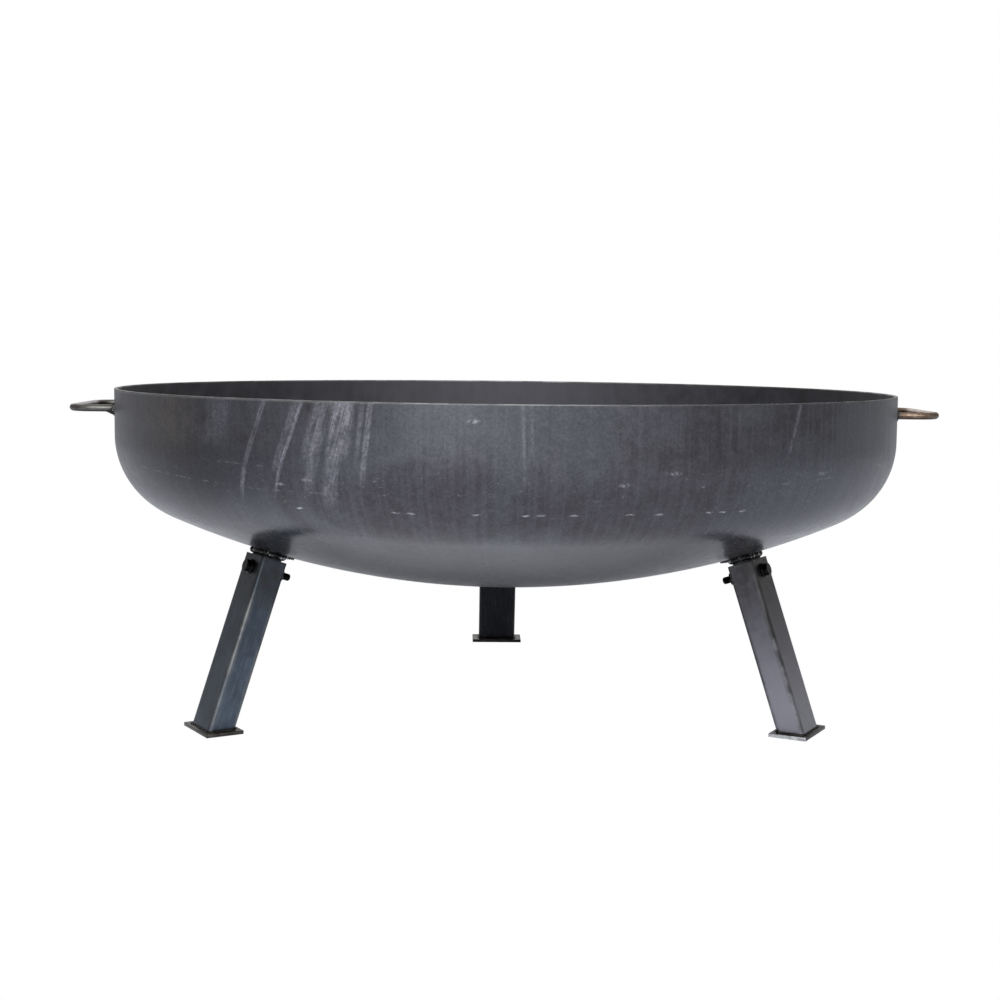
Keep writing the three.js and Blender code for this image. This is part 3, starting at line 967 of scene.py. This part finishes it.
def hex_rings(bottom, height, chamfer_low):
    """Rings of a hexagon about X, its corners turned down to a cone at the top and perhaps the bottom."""
    sides = 72
    inside = ACROSS_FLATS / 2
    face = inside * 0.95
    slope = math.tan(math.radians(30))

    def flat_ring(x):
        return ring_about_x(x, lambda angle: face, sides)

    def hexagon_ring(x, inwards):
        """inwards is 1 or -1 where the corners are turned down from this end, and 0 where they aren't."""
        ring = []
        for k in range(sides):
            angle = TAU * k / sides
            reach = hexagon(angle) * inside
            level = x + inwards * (reach - face) * slope
            ring.append((level, reach * math.cos(angle), reach * math.sin(angle)))
        return ring

    top = bottom + height
    rings = [hexagon_ring(bottom, 1 if chamfer_low else 0), hexagon_ring(top, -1), flat_ring(top)]
    return [flat_ring(bottom), *rings] if chamfer_low else rings


def thread_radius(angle, x):
    """A shank's radius where a right-hand thread runs over it, seen from the tip."""
    turn = (x / THREAD_PITCH - angle / TAU) % 1.0
    tooth = abs(turn - 0.5) * 2
    root_share = 0.12
    flank_share = 0.76
    flat = min(1.0, max(0.0, (tooth - root_share) / flank_share))
    return SHANK / 2 - THREAD_DEPTH * (1 - flat)


def make_bolt(place):
    tip = HEAD_FACE - BOLT_LENGTH
    thread_end = tip + THREAD_LENGTH
    chamfer = 1.0 * MM
    sides = 36
    stations_per_turn = 8
    steps = round(THREAD_LENGTH / THREAD_PITCH * stations_per_turn)
    stations = [tip + (thread_end - tip) * i / steps for i in range(steps + 1)]

    def shank_radius(angle, x):
        if x >= thread_end:
            return SHANK / 2
        run_in = SHANK / 2 - max(0.0, chamfer - (x - tip))
        return min(run_in, thread_radius(angle, x))

    stations += [thread_end + 0.8 * MM, HEAD_FACE - 0.4 * MM, HEAD_FACE + MM]
    rings = [ring_about_x(x, lambda angle: shank_radius(angle, x), sides) for x in stations]
    shank = loft(rings, caps=True)
    head = loft(hex_rings(HEAD_FACE, HEAD_HEIGHT, False), caps=True)
    mesh = bpy.data.meshes.new("head")
    head.to_mesh(mesh)
    head.free()
    shank.from_mesh(mesh)
    bpy.data.meshes.remove(mesh)
    piece = to_object(f"bolt_{place}", shank, [BLACK_OXIDE], sharp=25)
    piece.matrix_world = bolt_matrix(place)
    add_piece(piece, f"bolt_{place}", "black_oxide", f"leg_bolt_{place}")


def revolved(profile, sides):
    """Rings about X from a profile of (x, radius)."""
    return [ring_about_x(x, lambda angle: radius, sides) for x, radius in profile]


def make_washers_and_nut(place):
    matrix = bolt_matrix(place)
    bore = CLEAR_BORE / 2
    outer = WASHER_OUTER / 2
    ease = 0.2 * MM
    for name, node, body, start in (
        (f"washer_outside_{place}", f"head_washer_{place}", f"washer_{place}", WASHER_FACE),
        (f"washer_inside_{place}", f"nut_washer_{place}", "root", -WASHER_FACE - WASHER_THICKNESS),
    ):
        end = start + WASHER_THICKNESS
        profile = [
            (start, bore + ease),
            (start, outer - ease),
            (start + ease, outer),
            (end - ease, outer),
            (end, outer - ease),
            (end, bore + ease),
            (end - ease, bore),
            (start + ease, bore),
        ]
        rings = revolved(profile, 48)
        washer = to_object(name, loft(rings, closed=True), [BLACK_OXIDE], sharp=50)
        washer.matrix_world = matrix
        add_piece(washer, body, "black_oxide", node)

    bottom = -HEAD_FACE - NUT_HEIGHT
    countersink = 0.5 * MM
    bore_profile = [
        (bottom + NUT_HEIGHT, bore + countersink),
        (bottom + NUT_HEIGHT - countersink, bore),
        (bottom + countersink, bore),
        (bottom, bore + countersink),
    ]
    rings = hex_rings(bottom, NUT_HEIGHT, True)
    rings += revolved(bore_profile, len(rings[0]))
    nut = to_object(f"nut_{place}", loft(rings, closed=True), [BLACK_OXIDE], sharp=20)
    nut.matrix_world = matrix
    add_piece(nut, "root", "black_oxide", f"leg_nut_{place}")


# ---------------------------------------------------------------- grate

def bar_piece(name, node, start, end, upright):
    """A straight bar between two points, with its sheared ends eased."""
    ease = 0.7 * MM
    length = (end - start).length
    steps = 12
    between = [i / steps for i in range(1, steps)]
    shares = [0, ease / length, *between, 1 - ease / length, 1]
    path = [start.lerp(end, share) for share in shares]
    radii = [GRATE_BAR / 2 - (ease if share in (0, 1) else 0.0) for share in shares]
    piece = to_object(name, sweep(path, radii, GRATE_SIDES, upright), [GRATE_STEEL])
    add_piece(piece, "grate", "grate_steel", node)


def make_grate():
    low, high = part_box("grate_ring")
    height = (low.z + high.z) / 2
    ring_radius = high.x - GRATE_BAR / 2
    points = 180
    turns = [TAU * k / points for k in range(points)]
    ring = [Vector((ring_radius * math.cos(t), ring_radius * math.sin(t), height)) for t in turns]
    hoop = sweep(ring, [GRATE_BAR / 2] * points, GRATE_SIDES, UP, closed=True)
    add_piece(to_object("grate_hoop", hoop, [GRATE_STEEL]), "grate", "grate_steel", "grate_ring")

    tacks = []
    across = Vector((1, 0, 0))
    for node in sorted(n for n in frame["nodes"] if n.startswith("grate_bar_")):
        low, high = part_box(node)
        middle = (low + high) / 2
        start = Vector((middle.x, low.y, middle.z))
        end = Vector((middle.x, high.y, middle.z))
        bar_piece(node.replace("grate_bar", "grate_rod"), node, start, end, across)
        reach = math.sqrt(ring_radius**2 - middle.x**2)
        tacks += [Vector((middle.x, side * reach, (middle.z + height) / 2)) for side in (-1, 1)]
    for side in ("front", "back"):
        low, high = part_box(f"grate_cross_bar_{side}")
        middle = (low + high) / 2
        start = Vector((low.x, middle.y, middle.z))
        end = Vector((high.x, middle.y, middle.z))
        bar_piece(f"grate_cross_rod_{side}", f"grate_cross_bar_{side}", start, end, Vector((0, 1, 0)))
        tacks += [start, end]
    for i in (1, 2, 3):
        low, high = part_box(f"grate_foot_{i}")
        middle = (low + high) / 2
        start = Vector((middle.x, middle.y, low.z))
        end = Vector((middle.x, middle.y, high.z))
        bar_piece(f"grate_peg_{i}", f"grate_foot_{i}", start, end, across)
        tacks.append(end)
    make_tacks(tacks)


def make_tacks(places):
    """The small lumps of weld that hold the grate's bars together."""
    bm = bmesh.new()
    for place in places:
        made = bmesh.ops.create_icosphere(bm, subdivisions=3, radius=1.0)
        for vert in made["verts"]:
            lumps = 0.28 * noise.noise(vert.co * 1.7 + place * 90)
            bump = 1 + lumps + 0.1 * noise.noise(vert.co * 5 + place * 70)
            vert.co = place + Vector(a * b for a, b in zip(vert.co * bump, TACK_SIZE))
    add_piece(to_object("grate_tacks", bm, [WELD], sharp=180), "grate", "grate_steel")


# ---------------------------------------------------------------- assembly

set_up_camera()
set_up_floor()
set_up_light()

WELD = plain_steel("weld_metal", grey(0.010), grey(0.045, (1.0, 0.97, 0.92)), 160.0, (0.32, 0.55), 0.25, 0.5)
FOOT_WELD = plain_steel(
    "foot_weld_metal", grey(0.010, WARM_SCALE), grey(0.035, WARM_SCALE), 160.0, (0.4, 0.6), 0.2
)
STUB_STEEL = plain_steel("stub_steel", grey(0.035, (0.95, 1.05, 1.0)), grey(0.08, (0.95, 1.05, 1.0)))
PLATE_STEEL = plain_steel("plate_steel", grey(0.02, WARM_SCALE), grey(0.06, WARM_SCALE))
SAWN_STEEL = plain_steel("sawn_steel", grey(0.3), grey(0.6), 140.0, (0.3, 0.45))
BLACK_OXIDE = plain_steel("black_oxide", grey(0.010), grey(0.024), 220.0, (0.28, 0.42), 0.03)
GRATE_STEEL = plain_steel("grate_steel", grey(0.06, BLUE_SCALE), grey(0.12), 60.0, (0.4, 0.55), 0.15)
# The back leg's colours are darker than the other legs' as painted shade.
LEG_STEELS = {
    "back": leg_steel("back", 3.1, grey(0.03, BLUE_SCALE), grey(0.053, BLUE_SCALE), grey(0.045), 0.1),
    # The left leg's pale edge tone is a painted highlight along with wear; the right leg's dark one is a
    # painted shade line.
    "left": leg_steel("left", 0.0, grey(0.05, LEFT_TINT), grey(0.085, LEFT_TINT), grey(0.14), 0.0),
    "right": leg_steel("right", 7.7, grey(0.072, SCALE_TINT), grey(0.11, SCALE_TINT), grey(0.035), 0.8),
}

make_bowl()
make_handle("right", 0.0, handle_steel("right", (0.12, 0.082, 0.058), (0.215, 0.157, 0.119)))
make_handle("left", math.pi, handle_steel("left", (0.082, 0.066, 0.065), (0.116, 0.116, 0.105)))
for place in PLACES:
    make_leg(place, LEG_STEELS[place])
    make_foot_plate(place)
    make_bolt(place)
    make_washers_and_nut(place)
make_grate()
